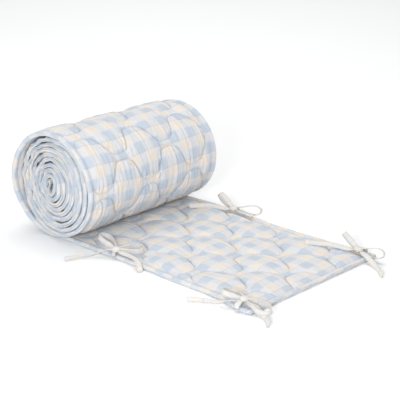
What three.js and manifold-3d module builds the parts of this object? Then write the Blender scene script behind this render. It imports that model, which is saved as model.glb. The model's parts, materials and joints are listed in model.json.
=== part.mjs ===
// A crib bumper: one quilted strip, its free end flat and the rest rolled up, with four ties in bows.
// Millimetres. X runs along the strip from the roll towards its free end, Y runs across the strip
// from the near long edge to the far one, and Z is up. The origin is on the supporting surface,
// straight under the roll's axis and in the middle of the strip's width.
import * as THREE from "three";
import * as BufferGeometryUtils from "three/addons/utils/BufferGeometryUtils.js";
import Module from "manifold-3d";

const wasm = await Module();
wasm.setup();

// Driving sizes of the strip
const HALF_WIDTH = 150;
const FLAT_LENGTH = 467;
const ROLL_TURNS = 9.5;
const START_RADIUS = { near: 98.6, far: 93.1 };
const CORE_RADIUS = 8.3;
const ROLL_OVAL = 1.02;
const ROLL_SETTLE = 0.8;
const STEPS_A_TURN = 24;

// The strip's two faces, as distances from its middle path
const PATH_HEIGHT = 4;
const ROLLED_FACE = 3.8;
const FLAT_TOP = { seam: 2.6, puff: 5.2, groove: 3.0, band: 4.4 };
const ROLL_OUTSIDE = { seam: 1.5, puff: 3.9, groove: 2.4, band: 3.9 };
const EDGE_LIP = 1.4;
const EDGE_INSET = 3;
const GROOVE_INSET = 9;
const SHOULDER_INSET = 15;
const SHOULDER_SETTLES = 23;
const FACE_COLUMNS = 22;

// The quilting: wave lines across the strip, every other one reversed
const WAVE_LENGTH = 105;
const WAVE_HEIGHT = 23;
const WAVE_SQUARENESS = 1.8;
const PUFF_REACH = 34;
const PUFF_POWER = 2.4;
const FIRST_LINE_LEAST = 13;
const LINE_SPACING = [
  { line: 0, along: 30, crest: -56 },
  { line: 6, along: 379, crest: -56 },
  { line: 13, along: 821, crest: -64 },
  { line: 16, along: 993, crest: -64 },
];
const ROW_SHARES = [0, 0.13, 0.36, 0.64, 0.87];

// Where the strip's faces change along its length, measured from the free end
const LINE_AT_ROLL = 7;
const FLAT_SPOT = 12.4;
const TOP_SETTLES = { from: 402, to: 448 };
const OUTSIDE_RISES = { from: 482, to: 520 };
const OUTSIDE_SETTLES_TURN = { from: 0.9, to: 0.985 };

// The flat part's two long edges along Y, measured from the free end
const FLAT_EDGES = [
  { along: 0, near: -162, far: 163 },
  { along: 16, near: -167, far: 161 },
  { along: 42, near: -162, far: 158 },
  { along: 75, near: -153, far: 156 },
  { along: 120, near: -151, far: 154 },
  { along: 206, near: -150, far: 151 },
  { along: 260, near: -148, far: 153 },
  { along: 360, near: -149, far: 158 },
  { along: 410, near: -149, far: 156 },
];

// How far each turn's two ends stand out along Y, from the flat part inwards
const TURN_ENDS = [
  { turn: 0, near: -150, far: 153 },
  { turn: 0.12, near: -162, far: 154 },
  { turn: 0.25, near: -167, far: 155 },
  { turn: 0.4, near: -162, far: 158 },
  { turn: 0.55, near: -161, far: 166 },
  { turn: 0.75, near: -159, far: 167 },
  { turn: 0.9, near: -158, far: 163 },
  { turn: 1.0, near: -158, far: 157 },
  { turn: 1.5, near: -155, far: 147 },
  { turn: 2.5, near: -157, far: 142 },
  { turn: 6.0, near: -160, far: 138 },
  { turn: 9.5, near: -166, far: 134 },
];

// The inner turns are wound askew: in every turn they go in and out by this height, and lie deepest
// at the near end at this part of the turn
const INNER_LEAN = { turn: 0.3, height: 7, from: 0.85, to: 1.15 };

// At their near end the inner turns sag away from the outermost one, above and behind the axis. The
// lobe is the cosine of the angle from this part of the turn at which the sag begins.
const INNER_SAG = { turn: 0.42, height: 3.5, lobe: 0.35, from: 0.9, to: 1.3, fades: 5, width: 0.45 };

// Driving sizes of the ties
const STRAP_WIDTH = 10;
const STRAP_THICK = 1.5;
const STRAP_STEP = 5;
const LOOP_STEPS = 16;
const LOOP_BASE = 1.1;
const LOOP_FULLNESS = 0.77;
const KNOT = { long: 8, wide: 7, high: 4.6 };
const KNOT_WRAP = { long: 5, wide: 7.8, high: 5.3 };
const KNOT_SIDES = 12;
const KNOT_RINGS = 6;
const STUB_GAP = 0.35;

// The stub that joins a tie to the strip: how far out of the edge it is, and how far it has gone to
// the knot on its way up
const STUB_ROUTE = [
  { z: 2.6, out: 0, share: 0 },
  { z: 7, out: 0.4, share: 0 },
  { z: 12, out: -0.8, share: 0 },
  { z: 15.4, out: 0, share: 0.4 },
  { z: 17.6, out: 0, share: 1 },
];

// The ties. A knot is a place on the strip. A loop leaves it at a heading in degrees from +X and a
// rise above level, and its two runs part along a direction at a tilt above level. A tail is a route
// with the lean of the strap's width above level, in degrees.
const TIES = [
  {
    name: "tie_near_roll",
    side: -1,
    knot: { x: 142, y: -143, z: 17.6 },
    loops: [
      { heading: 163, rise: 8, long: 54, spread: 21, tilt: 12 },
      { heading: 42, rise: 1, long: 47, spread: 18, tilt: 8 },
    ],
    tails: [
      [
        { x: 142, y: -143, z: 17, lean: 20 },
        { x: 128, y: -151, z: 15, lean: 20 },
        { x: 116, y: -160, z: 9, lean: 30 },
        { x: 108, y: -170, z: 5.4, lean: 45 },
        { x: 100, y: -184, z: 5.2, lean: 60 },
        { x: 94, y: -198, z: 5.2, lean: 70 },
        { x: 88, y: -213, z: 5.4, lean: 75 },
      ],
      [
        { x: 142, y: -143, z: 17, lean: 10 },
        { x: 158, y: -143, z: 14.8, lean: 10 },
        { x: 172, y: -142, z: 13.4, lean: 5 },
        { x: 187, y: -144, z: 13.4, lean: 5 },
        { x: 202, y: -150, z: 12.2, lean: 0 },
        { x: 212, y: -156.5, z: 8, lean: 0 },
        { x: 217, y: -159, z: 2.4, lean: 0 },
      ],
    ],
  },
  {
    name: "tie_near_end",
    side: -1,
    knot: { x: 441, y: -149, z: 17.6 },
    loops: [
      { heading: 178, rise: 2, long: 42, spread: 27, tilt: 14 },
      { heading: -3, rise: -5, long: 57, spread: 21, tilt: 10 },
    ],
    tails: [
      [
        { x: 441, y: -149, z: 15.5, lean: 15 },
        { x: 428, y: -158, z: 14.2, lean: 20 },
        { x: 414, y: -166, z: 10.5, lean: 30 },
        { x: 398, y: -170, z: 6, lean: 60 },
        { x: 384, y: -175, z: 5.3, lean: 75 },
        { x: 371, y: -182, z: 5.3, lean: 80 },
        { x: 357, y: -193, z: 5.6, lean: 85 },
      ],
      [
        { x: 441, y: -149, z: 15.5, lean: 10 },
        { x: 455, y: -152, z: 14, lean: 10 },
        { x: 468, y: -153, z: 12.5, lean: 15 },
        { x: 479, y: -154.5, z: 8, lean: 35 },
        { x: 493, y: -158, z: 4.8, lean: 50 },
        { x: 505, y: -167, z: 4.8, lean: 52 },
        { x: 516, y: -177, z: 4.8, lean: 52 },
      ],
    ],
  },
  {
    name: "tie_far_roll",
    side: 1,
    knot: { x: 156, y: 143, z: 17.6 },
    loops: [
      { heading: 160, rise: 9, long: 55, spread: 15, tilt: 72 },
      { heading: 24, rise: 1, long: 53, spread: 15, tilt: 75 },
    ],
    tails: [
      [
        { x: 156, y: 143, z: 16, lean: 0 },
        { x: 142, y: 138, z: 14.8, lean: -10 },
        { x: 126, y: 134, z: 14.8, lean: -24 },
        { x: 110, y: 127, z: 15.8, lean: -34 },
        { x: 97, y: 114, z: 16, lean: -38 },
        { x: 86, y: 98, z: 16, lean: -38 },
      ],
      [
        { x: 156, y: 143, z: 16, lean: 0 },
        { x: 170, y: 145, z: 14.2, lean: 5 },
        { x: 186, y: 146, z: 13.2, lean: 8 },
        { x: 201, y: 145, z: 13.4, lean: 10 },
      ],
    ],
  },
  {
    name: "tie_far_end",
    side: 1,
    knot: { x: 445, y: 141, z: 17.6 },
    loops: [
      { heading: 154, rise: 8, long: 53, spread: 18, tilt: 55 },
      { heading: 15, rise: -2, long: 48, spread: 15, tilt: 75 },
    ],
    tails: [
      [
        { x: 445, y: 141, z: 15.5, lean: 0 },
        { x: 460, y: 137, z: 14.3, lean: 10 },
        { x: 473, y: 133, z: 11.5, lean: 30 },
        { x: 485, y: 129, z: 6.6, lean: 50 },
        { x: 498, y: 122, z: 5.2, lean: 60 },
        { x: 513, y: 112, z: 5.1, lean: 60 },
        { x: 527, y: 101, z: 5.1, lean: 60 },
      ],
      [
        { x: 445, y: 141, z: 15.5, lean: 0 },
        { x: 430, y: 137, z: 14.6, lean: -10 },
        { x: 412, y: 134, z: 14.8, lean: -24 },
        { x: 393, y: 128, z: 15.8, lean: -34 },
        { x: 374, y: 118, z: 16, lean: -38 },
        { x: 356, y: 106, z: 16, lean: -38 },
      ],
    ],
  },
];

const cloth = {
  strip: { color: 0xdfe2e0, roughness: 0.95, metalness: 0 },
  tie: { color: 0xe9e4da, roughness: 0.95, metalness: 0 },
};

function mix(a, b, share) {
  return a + (b - a) * share;
}

function smooth(value, from, to) {
  const t = Math.min(1, Math.max(0, (value - from) / (to - from)));
  return t * t * (3 - 2 * t);
}

// Reads a column of a short table at a value of its first column, along straight lines between rows.
function lookUp(table, key, column, value) {
  let row = 0;
  while (row < table.length - 2 && value > table[row + 1][key]) row += 1;
  const a = table[row];
  const b = table[row + 1];
  return mix(a[column], b[column], (value - a[key]) / (b[key] - a[key]));
}

// The same along a smooth line that keeps each row's slope.
function easeUp(table, key, column, value) {
  let row = 0;
  while (row < table.length - 2 && value > table[row + 1][key]) row += 1;
  const slope = (i) => {
    const low = table[Math.max(i - 1, 0)];
    const high = table[Math.min(i + 1, table.length - 1)];
    return (high[column] - low[column]) / (high[key] - low[key]);
  };
  const a = table[row];
  const b = table[row + 1];
  const span = b[key] - a[key];
  const t = (value - a[key]) / span;
  const keep = (1 + 2 * t) * (1 - t) ** 2 * a[column] + t * t * (3 - 2 * t) * b[column];
  return keep + span * t * (1 - t) * ((1 - t) * slope(row) - t * slope(row + 1));
}

// A solid's mesh, from points and triangles, turned so that its faces point outwards.
function closedGeometry(points, triangles) {
  let volume = 0;
  for (const [a, b, c] of triangles) {
    volume += points[a].dot(new THREE.Vector3().crossVectors(points[b], points[c]));
  }
  const index = triangles.flatMap(([a, b, c]) => (volume < 0 ? [a, c, b] : [a, b, c]));
  const geometry = new THREE.BufferGeometry();
  const positions = points.flatMap((p) => [p.x, p.y, p.z]);
  geometry.setAttribute("position", new THREE.Float32BufferAttribute(positions, 3));
  geometry.setIndex(index);
  return geometry;
}

// The strip's path: turns of the roll, from 0 where it leaves the surface

const meanStart = (START_RADIUS.near + START_RADIUS.far) / 2;
const windIn = (meanStart - CORE_RADIUS) / (2 * ROLL_TURNS);

function alongAtTurn(turn) {
  return FLAT_LENGTH + 2 * Math.PI * (meanStart * turn - windIn * turn * turn);
}

function turnAtAlong(along) {
  const rolled = (along - FLAT_LENGTH) / (2 * Math.PI);
  if (rolled <= 0) return rolled / meanStart;
  return (meanStart - Math.sqrt(meanStart * meanStart - 4 * windIn * rolled)) / (2 * windIn);
}

const edgeRows = [
  ...FLAT_EDGES,
  ...TURN_ENDS.map(({ turn, near, far }) => ({ along: alongAtTurn(turn), near, far })),
];

// A point of the strip: across is -1 at the near edge and 1 at the far one, outward is the distance
// from the path towards the face that is underneath on the flat part and outside on the roll.
function stripPoint(along, across, outward) {
  const turn = turnAtAlong(along);
  const near = easeUp(edgeRows, "along", "near", along);
  const far = easeUp(edgeRows, "along", "far", along);
  const askew = INNER_LEAN.height * smooth(turn, INNER_LEAN.from, INNER_LEAN.to);
  const lean = askew * Math.cos(2 * Math.PI * (turn - INNER_LEAN.turn));
  const y = mix(near, far, (across + 1) / 2) + lean;
  if (turn <= 0) return new THREE.Vector3(FLAT_LENGTH - along, y, PATH_HEIGHT - outward);
  const start = mix(START_RADIUS.near, START_RADIUS.far, (across + 1) / 2);
  const lobe = smooth(Math.cos(2 * Math.PI * (turn - INNER_SAG.turn)), INNER_SAG.lobe, 1);
  const inside = smooth(turn, INNER_SAG.from, INNER_SAG.to) - smooth(turn, INNER_SAG.to, INNER_SAG.fades);
  const nearness = Math.exp(-(across + 1) / INNER_SAG.width);
  const sag = INNER_SAG.height * lobe * inside * nearness;
  const radius = mix(start, CORE_RADIUS, turn / ROLL_TURNS) - sag;
  const angle = 2 * Math.PI * turn;
  const centreZ = start + PATH_HEIGHT - ROLL_SETTLE;
  const pathX = -radius * Math.sin(angle) * ROLL_OVAL;
  const pathZ = Math.max(centreZ - radius * Math.cos(angle), PATH_HEIGHT);
  const flatSpot = pathZ <= PATH_HEIGHT;
  const outX = flatSpot ? 0 : -Math.sin(angle);
  const outZ = flatSpot ? -1 : -Math.cos(angle);
  return new THREE.Vector3(pathX + outX * outward, y, pathZ + outZ * outward);
}

// The quilting lines

function waveShape(distance) {
  const angle = (2 * Math.PI * distance) / WAVE_LENGTH;
  return Math.tanh(WAVE_SQUARENESS * Math.cos(angle)) / Math.tanh(WAVE_SQUARENESS);
}

const lastLine = LINE_SPACING.at(-1).line;
const quiltEnds = alongAtTurn(1);

function lineAlong(line, across) {
  if (line < 0) return GROOVE_INSET;
  if (line > lastLine) return quiltEnds;
  const sign = line % 2 === 0 ? -1 : 1;
  const along = lookUp(LINE_SPACING, "line", "along", line);
  const crest = lookUp(LINE_SPACING, "line", "crest", line);
  const bent = along + sign * WAVE_HEIGHT * waveShape(across * HALF_WIDTH - crest);
  return Math.max(bent, FIRST_LINE_LEAST);
}

// The height of a puff between a line and the next, from 0 on them to 1 in the middle of a wide cell.
function puff(line, along, across) {
  const from = lineAlong(line, across);
  const gap = lineAlong(line + 1, across) - from;
  const share = (along - from) / gap;
  const dome = 1 - Math.abs(2 * share - 1) ** PUFF_POWER;
  return dome * (1 - Math.exp(-gap / PUFF_REACH));
}

// The distance of a quilted face from the path, with the stitched band along the long edges.
function quiltedFace(face, across, relief) {
  const inset = HALF_WIDTH * (1 - Math.abs(across));
  if (inset < (EDGE_INSET + GROOVE_INSET) / 2) return face.band;
  if (inset < (GROOVE_INSET + SHOULDER_INSET) / 2) return face.groove;
  return face.seam + face.puff * relief * smooth(inset, EDGE_INSET, SHOULDER_SETTLES);
}

function topFace(along, across, relief) {
  const quilted = quiltedFace(FLAT_TOP, across, relief);
  return mix(quilted, ROLLED_FACE, smooth(along, TOP_SETTLES.from, TOP_SETTLES.to));
}

function outsideFace(along, across, relief) {
  const turn = turnAtAlong(along);
  const quilted = quiltedFace(ROLL_OUTSIDE, across, relief);
  const risen = mix(PATH_HEIGHT, quilted, smooth(along, OUTSIDE_RISES.from, OUTSIDE_RISES.to));
  const settles = smooth(turn, OUTSIDE_SETTLES_TURN.from, OUTSIDE_SETTLES_TURN.to);
  return mix(risen, ROLLED_FACE, settles);
}

// The strip's cross rows. A row is a ring of points: its top face, its far lip, its outside face and
// its near lip. A quilted face has many columns, a plain one only its two edges.

const edgeColumns = [-1 + EDGE_INSET / HALF_WIDTH, 1 - EDGE_INSET / HALF_WIDTH];

function quiltColumns() {
  const columns = [];
  const shoulder = 1 - SHOULDER_INSET / HALF_WIDTH;
  for (let i = 0; i <= FACE_COLUMNS; i += 1) columns.push(mix(-shoulder, shoulder, i / FACE_COLUMNS));
  const groove = 1 - GROOVE_INSET / HALF_WIDTH;
  return [edgeColumns[0], -groove, ...columns, groove, edgeColumns[1]];
}

const fineColumns = quiltColumns();

function makeRow(alongAt, relief, topColumns, outsideColumns, lip, faces) {
  const top = topColumns.map((across) => {
    const along = alongAt(across);
    return { across, point: stripPoint(along, across, -faces.top(along, across, relief(across))) };
  });
  const outside = outsideColumns.map((across) => {
    const along = alongAt(across);
    return { across, point: stripPoint(along, across, faces.outside(along, across, relief(across))) };
  });
  const lips = [-1, 1].map((across) => [-lip, lip].map((out) => stripPoint(alongAt(across), across, out)));
  return { top, outside, lips };
}

const EVEN = () => 0;
const ROLLED = { top: () => ROLLED_FACE, outside: () => ROLLED_FACE };
const QUILTED = { top: topFace, outside: outsideFace };
const END_LIP = { top: () => EDGE_LIP, outside: () => EDGE_LIP };
const END_BAND = { top: () => FLAT_TOP.band, outside: () => PATH_HEIGHT };
const END_GROOVE = {
  top: (along, across) => Math.min(FLAT_TOP.groove, quiltedFace(FLAT_TOP, across, 0)),
  outside: () => PATH_HEIGHT,
};

function stripRows() {
  const rows = [];
  rows.push(makeRow(() => 0, EVEN, fineColumns, edgeColumns, EDGE_LIP / 2, END_LIP));
  rows.push(makeRow(() => EDGE_INSET, EVEN, fineColumns, edgeColumns, EDGE_LIP, END_BAND));
  rows.push(makeRow(() => GROOVE_INSET, EVEN, fineColumns, edgeColumns, EDGE_LIP, END_GROOVE));
  const flatSpotEnd = () => FLAT_LENGTH + FLAT_SPOT;
  for (let line = -1; line <= lastLine; line += 1) {
    const from = (across) => lineAlong(line, across);
    const to = (across) => lineAlong(line + 1, across);
    const spans = line === LINE_AT_ROLL ? [[from, flatSpotEnd], [flatSpotEnd, to]] : [[from, to]];
    spans.forEach(([start, end], i) => {
      const topColumns = line <= LINE_AT_ROLL ? fineColumns : edgeColumns;
      const outsideColumns = line > LINE_AT_ROLL || i > 0 ? fineColumns : edgeColumns;
      for (const share of line < 0 ? ROW_SHARES.slice(1) : ROW_SHARES) {
        const alongAt = (across) => mix(start(across), end(across), share);
        const relief = (across) => puff(line, alongAt(across), across);
        rows.push(makeRow(alongAt, relief, topColumns, outsideColumns, EDGE_LIP, QUILTED));
      }
    });
  }
  for (let step = STEPS_A_TURN; step <= ROLL_TURNS * STEPS_A_TURN; step += 1) {
    const along = alongAtTurn(step / STEPS_A_TURN);
    rows.push(makeRow(() => along, EVEN, edgeColumns, edgeColumns, EDGE_LIP, ROLLED));
  }
  return rows;
}

// Triangles between two lines of points that have different numbers of columns.
function zip(a, b, triangles) {
  let i = 0;
  let j = 0;
  while (i < a.length - 1 || j < b.length - 1) {
    const stepA = j === b.length - 1 || (i < a.length - 1 && a[i + 1].across <= b[j + 1].across);
    if (stepA) triangles.push([a[i].id, a[i + 1].id, b[j].id]);
    else triangles.push([a[i].id, b[j + 1].id, b[j].id]);
    if (stepA) i += 1;
    else j += 1;
  }
}

function quad(a, b, c, d, triangles) {
  triangles.push([a, b, c], [a, c, d]);
}

function makeStrip() {
  const points = [];
  const triangles = [];
  const rows = stripRows().map((row) => {
    const name = (point) => points.push(point) - 1;
    const top = row.top.map(({ across, point }) => ({ across, id: name(point) }));
    const outside = row.outside.map(({ across, point }) => ({ across, id: name(point) }));
    const lips = row.lips.map((pair) => pair.map(name));
    return { top, outside, lips };
  });
  for (let r = 0; r < rows.length - 1; r += 1) {
    const a = rows[r];
    const b = rows[r + 1];
    zip(a.top, b.top, triangles);
    zip(b.outside, a.outside, triangles);
    const farRing = (row) => [row.top.at(-1).id, row.lips[1][0], row.lips[1][1], row.outside.at(-1).id];
    const nearRing = (row) => [row.outside[0].id, row.lips[0][1], row.lips[0][0], row.top[0].id];
    for (const ring of [farRing, nearRing]) {
      const [p, q] = [ring(a), ring(b)];
      for (let k = 0; k < 3; k += 1) quad(p[k], p[k + 1], q[k + 1], q[k], triangles);
    }
  }
  for (const [row, turned] of [[rows[0], true], [rows.at(-1), false]]) {
    const cap = [];
    zip(row.top, row.outside, cap);
    const [near, far] = row.lips;
    cap.push([row.top.at(-1).id, far[0], row.outside.at(-1).id], [far[0], far[1], row.outside.at(-1).id]);
    cap.push([row.outside[0].id, near[0], row.top[0].id], [row.outside[0].id, near[1], near[0]]);
    for (const [p, q, s] of cap) triangles.push(turned ? [p, s, q] : [p, q, s]);
  }
  return closedGeometry(points, triangles);
}

// A strap: a flat band through a list of places, each with the direction of its width.
function strapSolid(stations) {
  const points = [];
  const triangles = [];
  const places = stations.map(({ place }) => place);
  stations.forEach(({ place, width }, i) => {
    const ahead = places[Math.min(i + 1, places.length - 1)];
    const behind = places[Math.max(i - 1, 0)];
    const run = new THREE.Vector3().subVectors(ahead, behind).normalize();
    const thick = new THREE.Vector3().crossVectors(run, width).normalize();
    const side = new THREE.Vector3().crossVectors(thick, run).normalize();
    for (const [a, b] of [[-1, -1], [1, -1], [1, 1], [-1, 1]]) {
      const corner = place.clone().addScaledVector(side, (a * STRAP_WIDTH) / 2);
      points.push(corner.addScaledVector(thick, (b * STRAP_THICK) / 2));
    }
  });
  const last = (stations.length - 1) * 4;
  for (let i = 0; i < last; i += 4) {
    for (let k = 0; k < 4; k += 1) {
      const next = (k + 1) % 4;
      quad(i + k, i + next, i + 4 + next, i + 4 + k, triangles);
    }
  }
  quad(3, 2, 1, 0, triangles);
  quad(last, last + 1, last + 2, last + 3, triangles);
  return solidOf(closedGeometry(points, triangles));
}

function solidOf(geometry) {
  const vertProperties = Float32Array.from(geometry.getAttribute("position").array);
  const triVerts = Uint32Array.from(geometry.getIndex().array);
  return new wasm.Manifold(new wasm.Mesh({ numProp: 3, vertProperties, triVerts }));
}

const UP = new THREE.Vector3(0, 0, 1);

// The direction of a strap's width where it runs along a direction, leaning from level.
function leaning(run, lean) {
  const level = new THREE.Vector3().crossVectors(run, UP).normalize();
  return level.applyAxisAngle(run, THREE.MathUtils.degToRad(lean));
}

function tailSolid(route) {
  const curve = new THREE.CatmullRomCurve3(route.map(({ x, y, z }) => new THREE.Vector3(x, y, z)));
  const steps = Math.round(curve.getLength() / STRAP_STEP);
  const stations = [];
  for (let i = 0; i <= steps; i += 1) {
    const share = i / steps;
    const at = curve.getUtoTmapping(share) * (route.length - 1);
    const row = Math.min(Math.floor(at), route.length - 2);
    const lean = mix(route[row].lean, route[row + 1].lean, at - row);
    const width = leaning(curve.getTangentAt(share), lean);
    stations.push({ place: curve.getPointAt(share), width });
  }
  return strapSolid(stations);
}

function loopSolid(knot, { heading, rise, long, spread, tilt }) {
  const turn = THREE.MathUtils.degToRad(heading);
  const climb = THREE.MathUtils.degToRad(rise);
  const level = new THREE.Vector3(Math.cos(turn), Math.sin(turn), 0);
  const out = level.clone().multiplyScalar(Math.cos(climb)).addScaledVector(UP, Math.sin(climb));
  const apart = leaning(out, tilt);
  const width = new THREE.Vector3().crossVectors(out, apart);
  const stations = [];
  for (let i = 0; i <= LOOP_STEPS; i += 1) {
    const round = (2 * Math.PI * i) / LOOP_STEPS;
    const along = (long * (1 - Math.cos(round))) / 2;
    const open = (Math.sin(round) * (1 - Math.cos(round)) * LOOP_FULLNESS * spread) / 2;
    const aside = open + LOOP_BASE * Math.cos(round / 2);
    const place = knot.clone().addScaledVector(out, along).addScaledVector(apart, aside);
    stations.push({ place, width });
  }
  return strapSolid(stations);
}

// The knot: the strap wound once round its own crossing.
function knotSolid(knot, heading) {
  const lumps = [KNOT, KNOT_WRAP].map(({ long, wide, high }) => {
    const lump = new THREE.SphereGeometry(1, KNOT_SIDES, KNOT_RINGS);
    lump.scale(long, wide, high).rotateZ(THREE.MathUtils.degToRad(heading));
    lump.translate(knot.x, knot.y, knot.z);
    lump.deleteAttribute("normal");
    lump.deleteAttribute("uv");
    return solidOf(BufferGeometryUtils.mergeVertices(lump));
  });
  return lumps[0].add(lumps[1]);
}

// The stub that is sewn to the strip's edge and comes up over it to the knot.
function stubSolid(knot, side) {
  const edgeAt = (x) => side * stripPoint(FLAT_LENGTH - x, side, 0).y;
  const widest = Math.max(edgeAt(knot.x - STRAP_WIDTH / 2), edgeAt(knot.x + STRAP_WIDTH / 2));
  const edge = side * (widest + STUB_GAP + STRAP_THICK / 2);
  const route = STUB_ROUTE.map(({ z, out, share }) => {
    return { x: knot.x, y: mix(edge + side * out, knot.y, share), z, lean: 0 };
  });
  return tailSolid(route);
}

function tieGeometry({ side, knot, loops, tails }) {
  const centre = new THREE.Vector3(knot.x, knot.y, knot.z);
  const pieces = [
    stubSolid(centre, side),
    ...loops.map((loop) => loopSolid(centre, loop)),
    ...tails.map((tail) => tailSolid(tail)),
  ];
  const solid = pieces.reduce((joined, piece) => joined.add(piece), knotSolid(centre, loops[1].heading));
  const { vertProperties, triVerts } = solid.getMesh();
  const geometry = new THREE.BufferGeometry();
  geometry.setAttribute("position", new THREE.BufferAttribute(vertProperties, 3));
  geometry.setIndex(new THREE.BufferAttribute(triVerts, 1));
  return geometry;
}

const bumper = new THREE.Group();

function addMesh(name, geometry, material) {
  const mesh = new THREE.Mesh(geometry, new THREE.MeshStandardMaterial(material));
  mesh.name = name;
  bumper.add(mesh);
}

addMesh("quilted_strip", makeStrip(), cloth.strip);
for (const tie of TIES) addMesh(tie.name, tieGeometry(tie), cloth.tie);

export default bumper;
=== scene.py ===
"""A quilted gingham crib bumper, one end laid flat and the rest rolled up, with four ties in bows."""

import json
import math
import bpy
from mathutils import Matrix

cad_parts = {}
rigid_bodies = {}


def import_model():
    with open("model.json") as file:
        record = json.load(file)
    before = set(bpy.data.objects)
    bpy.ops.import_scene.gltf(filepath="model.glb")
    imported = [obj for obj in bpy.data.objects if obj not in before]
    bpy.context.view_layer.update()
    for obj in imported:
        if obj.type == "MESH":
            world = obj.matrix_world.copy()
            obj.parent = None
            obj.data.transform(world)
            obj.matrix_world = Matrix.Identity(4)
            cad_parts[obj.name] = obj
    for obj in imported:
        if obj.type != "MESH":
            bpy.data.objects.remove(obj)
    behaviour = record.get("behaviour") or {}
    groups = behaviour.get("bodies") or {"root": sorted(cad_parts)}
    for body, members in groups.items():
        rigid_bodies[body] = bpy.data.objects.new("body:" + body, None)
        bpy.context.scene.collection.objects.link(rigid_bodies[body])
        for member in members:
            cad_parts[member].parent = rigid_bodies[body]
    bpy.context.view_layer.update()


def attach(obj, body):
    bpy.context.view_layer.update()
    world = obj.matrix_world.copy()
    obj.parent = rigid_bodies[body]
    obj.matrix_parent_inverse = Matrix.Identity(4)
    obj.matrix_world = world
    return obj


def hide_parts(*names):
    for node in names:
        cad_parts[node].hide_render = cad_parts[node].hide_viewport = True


bl_info = {
    "name": "Crib bumper, partly unrolled",
    "version": (1, 0, 0),
    "blender": (4, 5, 0),
    "location": "View3D > Sidebar > Bumper",
    "description": "Quilted gingham strip with its roll, its stitching and its four tied bows",
    "category": "Add Mesh",
}

import bmesh
import bpy
import numpy as np
from mathutils import Matrix, Vector

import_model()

# The strip's path, in metres, as in the solid that this scene dresses
ROLL_TURNS = 9.5
START_RADIUS_NEAR = 0.0986
START_RADIUS_FAR = 0.0931
CORE_RADIUS = 0.0083
ROLL_OVAL = 1.02
ROLL_SETTLE = 0.0008
PATH_HEIGHT = 0.004

# The long edges of the flat part: distance from the free end, near edge and far edge
FLAT_EDGES = [
    (0.000, -0.162, 0.163), (0.016, -0.167, 0.161), (0.042, -0.162, 0.158), (0.075, -0.153, 0.156),
    (0.120, -0.151, 0.154), (0.206, -0.150, 0.151), (0.260, -0.148, 0.153), (0.360, -0.149, 0.158),
    (0.410, -0.149, 0.156),
]

# How far each turn's two ends stand out: turn, near end and far end
TURN_ENDS = [
    (0.00, -0.150, 0.153), (0.12, -0.162, 0.154), (0.25, -0.167, 0.155), (0.40, -0.162, 0.158),
    (0.55, -0.161, 0.166), (0.75, -0.159, 0.167), (0.90, -0.158, 0.163), (1.00, -0.158, 0.157),
    (1.50, -0.155, 0.147), (2.50, -0.157, 0.142), (6.00, -0.160, 0.138), (9.50, -0.166, 0.134),
]

# The inner turns are wound askew, deepest at the near end at this part of each turn. Here and below, a
# pair called sets_in or fade holds the two values between which something grows from none to all.
INNER_LEAN = {"turn": 0.3, "height": 0.007, "sets_in": (0.85, 1.15)}

# At their near end the inner turns sag away from the outermost one, above and behind the axis
INNER_SAG = {"turn": 0.42, "height": 0.0035, "width": 0.45, "lobe": 0.35, "sets_in": (0.9, 1.3), "fades": 5}

# Some of the quilting lines across the strip, where they lie and where the crest of their wave is. The
# lines between them are spaced evenly.
SPACED_LINES = (0, 6, 13, 16)
LINE_PLACES = (0.030, 0.379, 0.821, 0.993)
LINE_CRESTS = (-0.056, -0.056, -0.064, -0.064)
LAST_LINE = SPACED_LINES[-1]
LINE_AT_ROLL = 7
WAVE_SQUARENESS = 1.8
FIRST_LINE_LEAST = 0.013

# The faces' heights over the path
FLAT_TOP = {"seam": 0.0004, "puff": 0.0092, "groove": 0.0016, "band": 0.0046}
ROLL_OUTSIDE = {"seam": 0.0002, "puff": 0.0066, "groove": 0.0010, "band": 0.0040}
ROLLED_GROOVE = 0.0019
PUFF_REACH = 0.034
DOME_POWERS = (2.4, 0.7)
EDGE_INSET = 0.003
BAND_CREST = 0.0045
END_BAND_CREST = 0.0055
BAND_ROUNDNESS = 0.6
GROOVE_INSET = 0.009
SHOULDER_SETTLES = 0.024
TOP_SETTLES = (0.406, 0.442)
OUTSIDE_RISES = (0.482, 0.520)
OUTSIDE_SETTLES_TURN = (0.93, 0.995)
SPOT_TURN = 0.2
SPOT_LEAST_COSINE = 0.1

# The room between the turns: the cloth fills it up to a gap that opens here and there
ROOM_MOST = 0.0098
GAP_LEAST = 0.0006
GAP_OPEN = 0.0040
GAP_FIELD_WIDTH = 0.08
GAP_FADE = (0.0, 0.9)
GAP_TIGHT = {"turn": 0.72, "fade": (0.1, 0.8)}
GAP_SETS_IN = (0.9, 1.3)
CORE_OPENS = (ROLL_TURNS - 2.2, ROLL_TURNS - 0.6)
CORE_SHARE = 0.8
SLACK = 0.0013
SLACK_SETS_IN = (0.95, 1.3)

# Unevenness of the cloth
PUCKER_PITCH = 0.0081
PUCKER_LONG_PITCH = 0.0147
PUCKER_LONG_SHARE = 0.55
PUCKER_STRAY = 0.0042
PUCKER_STRETCH = 0.035
PUCKER_GATHERED = (0.55, 0.45)
PUCKER_REACH_FLAT = 0.012
PUCKER_REACH_ROLL = 0.026
PUCKER_START = 0.0022
PUCKER_NECK = (0.006, 0.036)
FLUFF = 0.0005
CREASE = 0.0007
CREASE_STRETCH = 0.3
RUFFLE = 0.0014
RUFFLE_REACH = 0.022
RUFFLE_SIDE = {"turn": 0.27, "fade": (0.2, 0.9), "least": 0.4, "more": 1.2}
RUFFLE_INNER = {"sets_in": (0.85, 1.1), "least": 0.25, "more": 0.75}
RUFFLE_STARTS = (0.0, 0.1)
RAGGED_EDGE = 1.5 * RUFFLE
BAND_RIPPLE = 0.0004
BAND_RIPPLE_PITCH = 0.0085
BAND_RIPPLE_STRAY = 9
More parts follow.
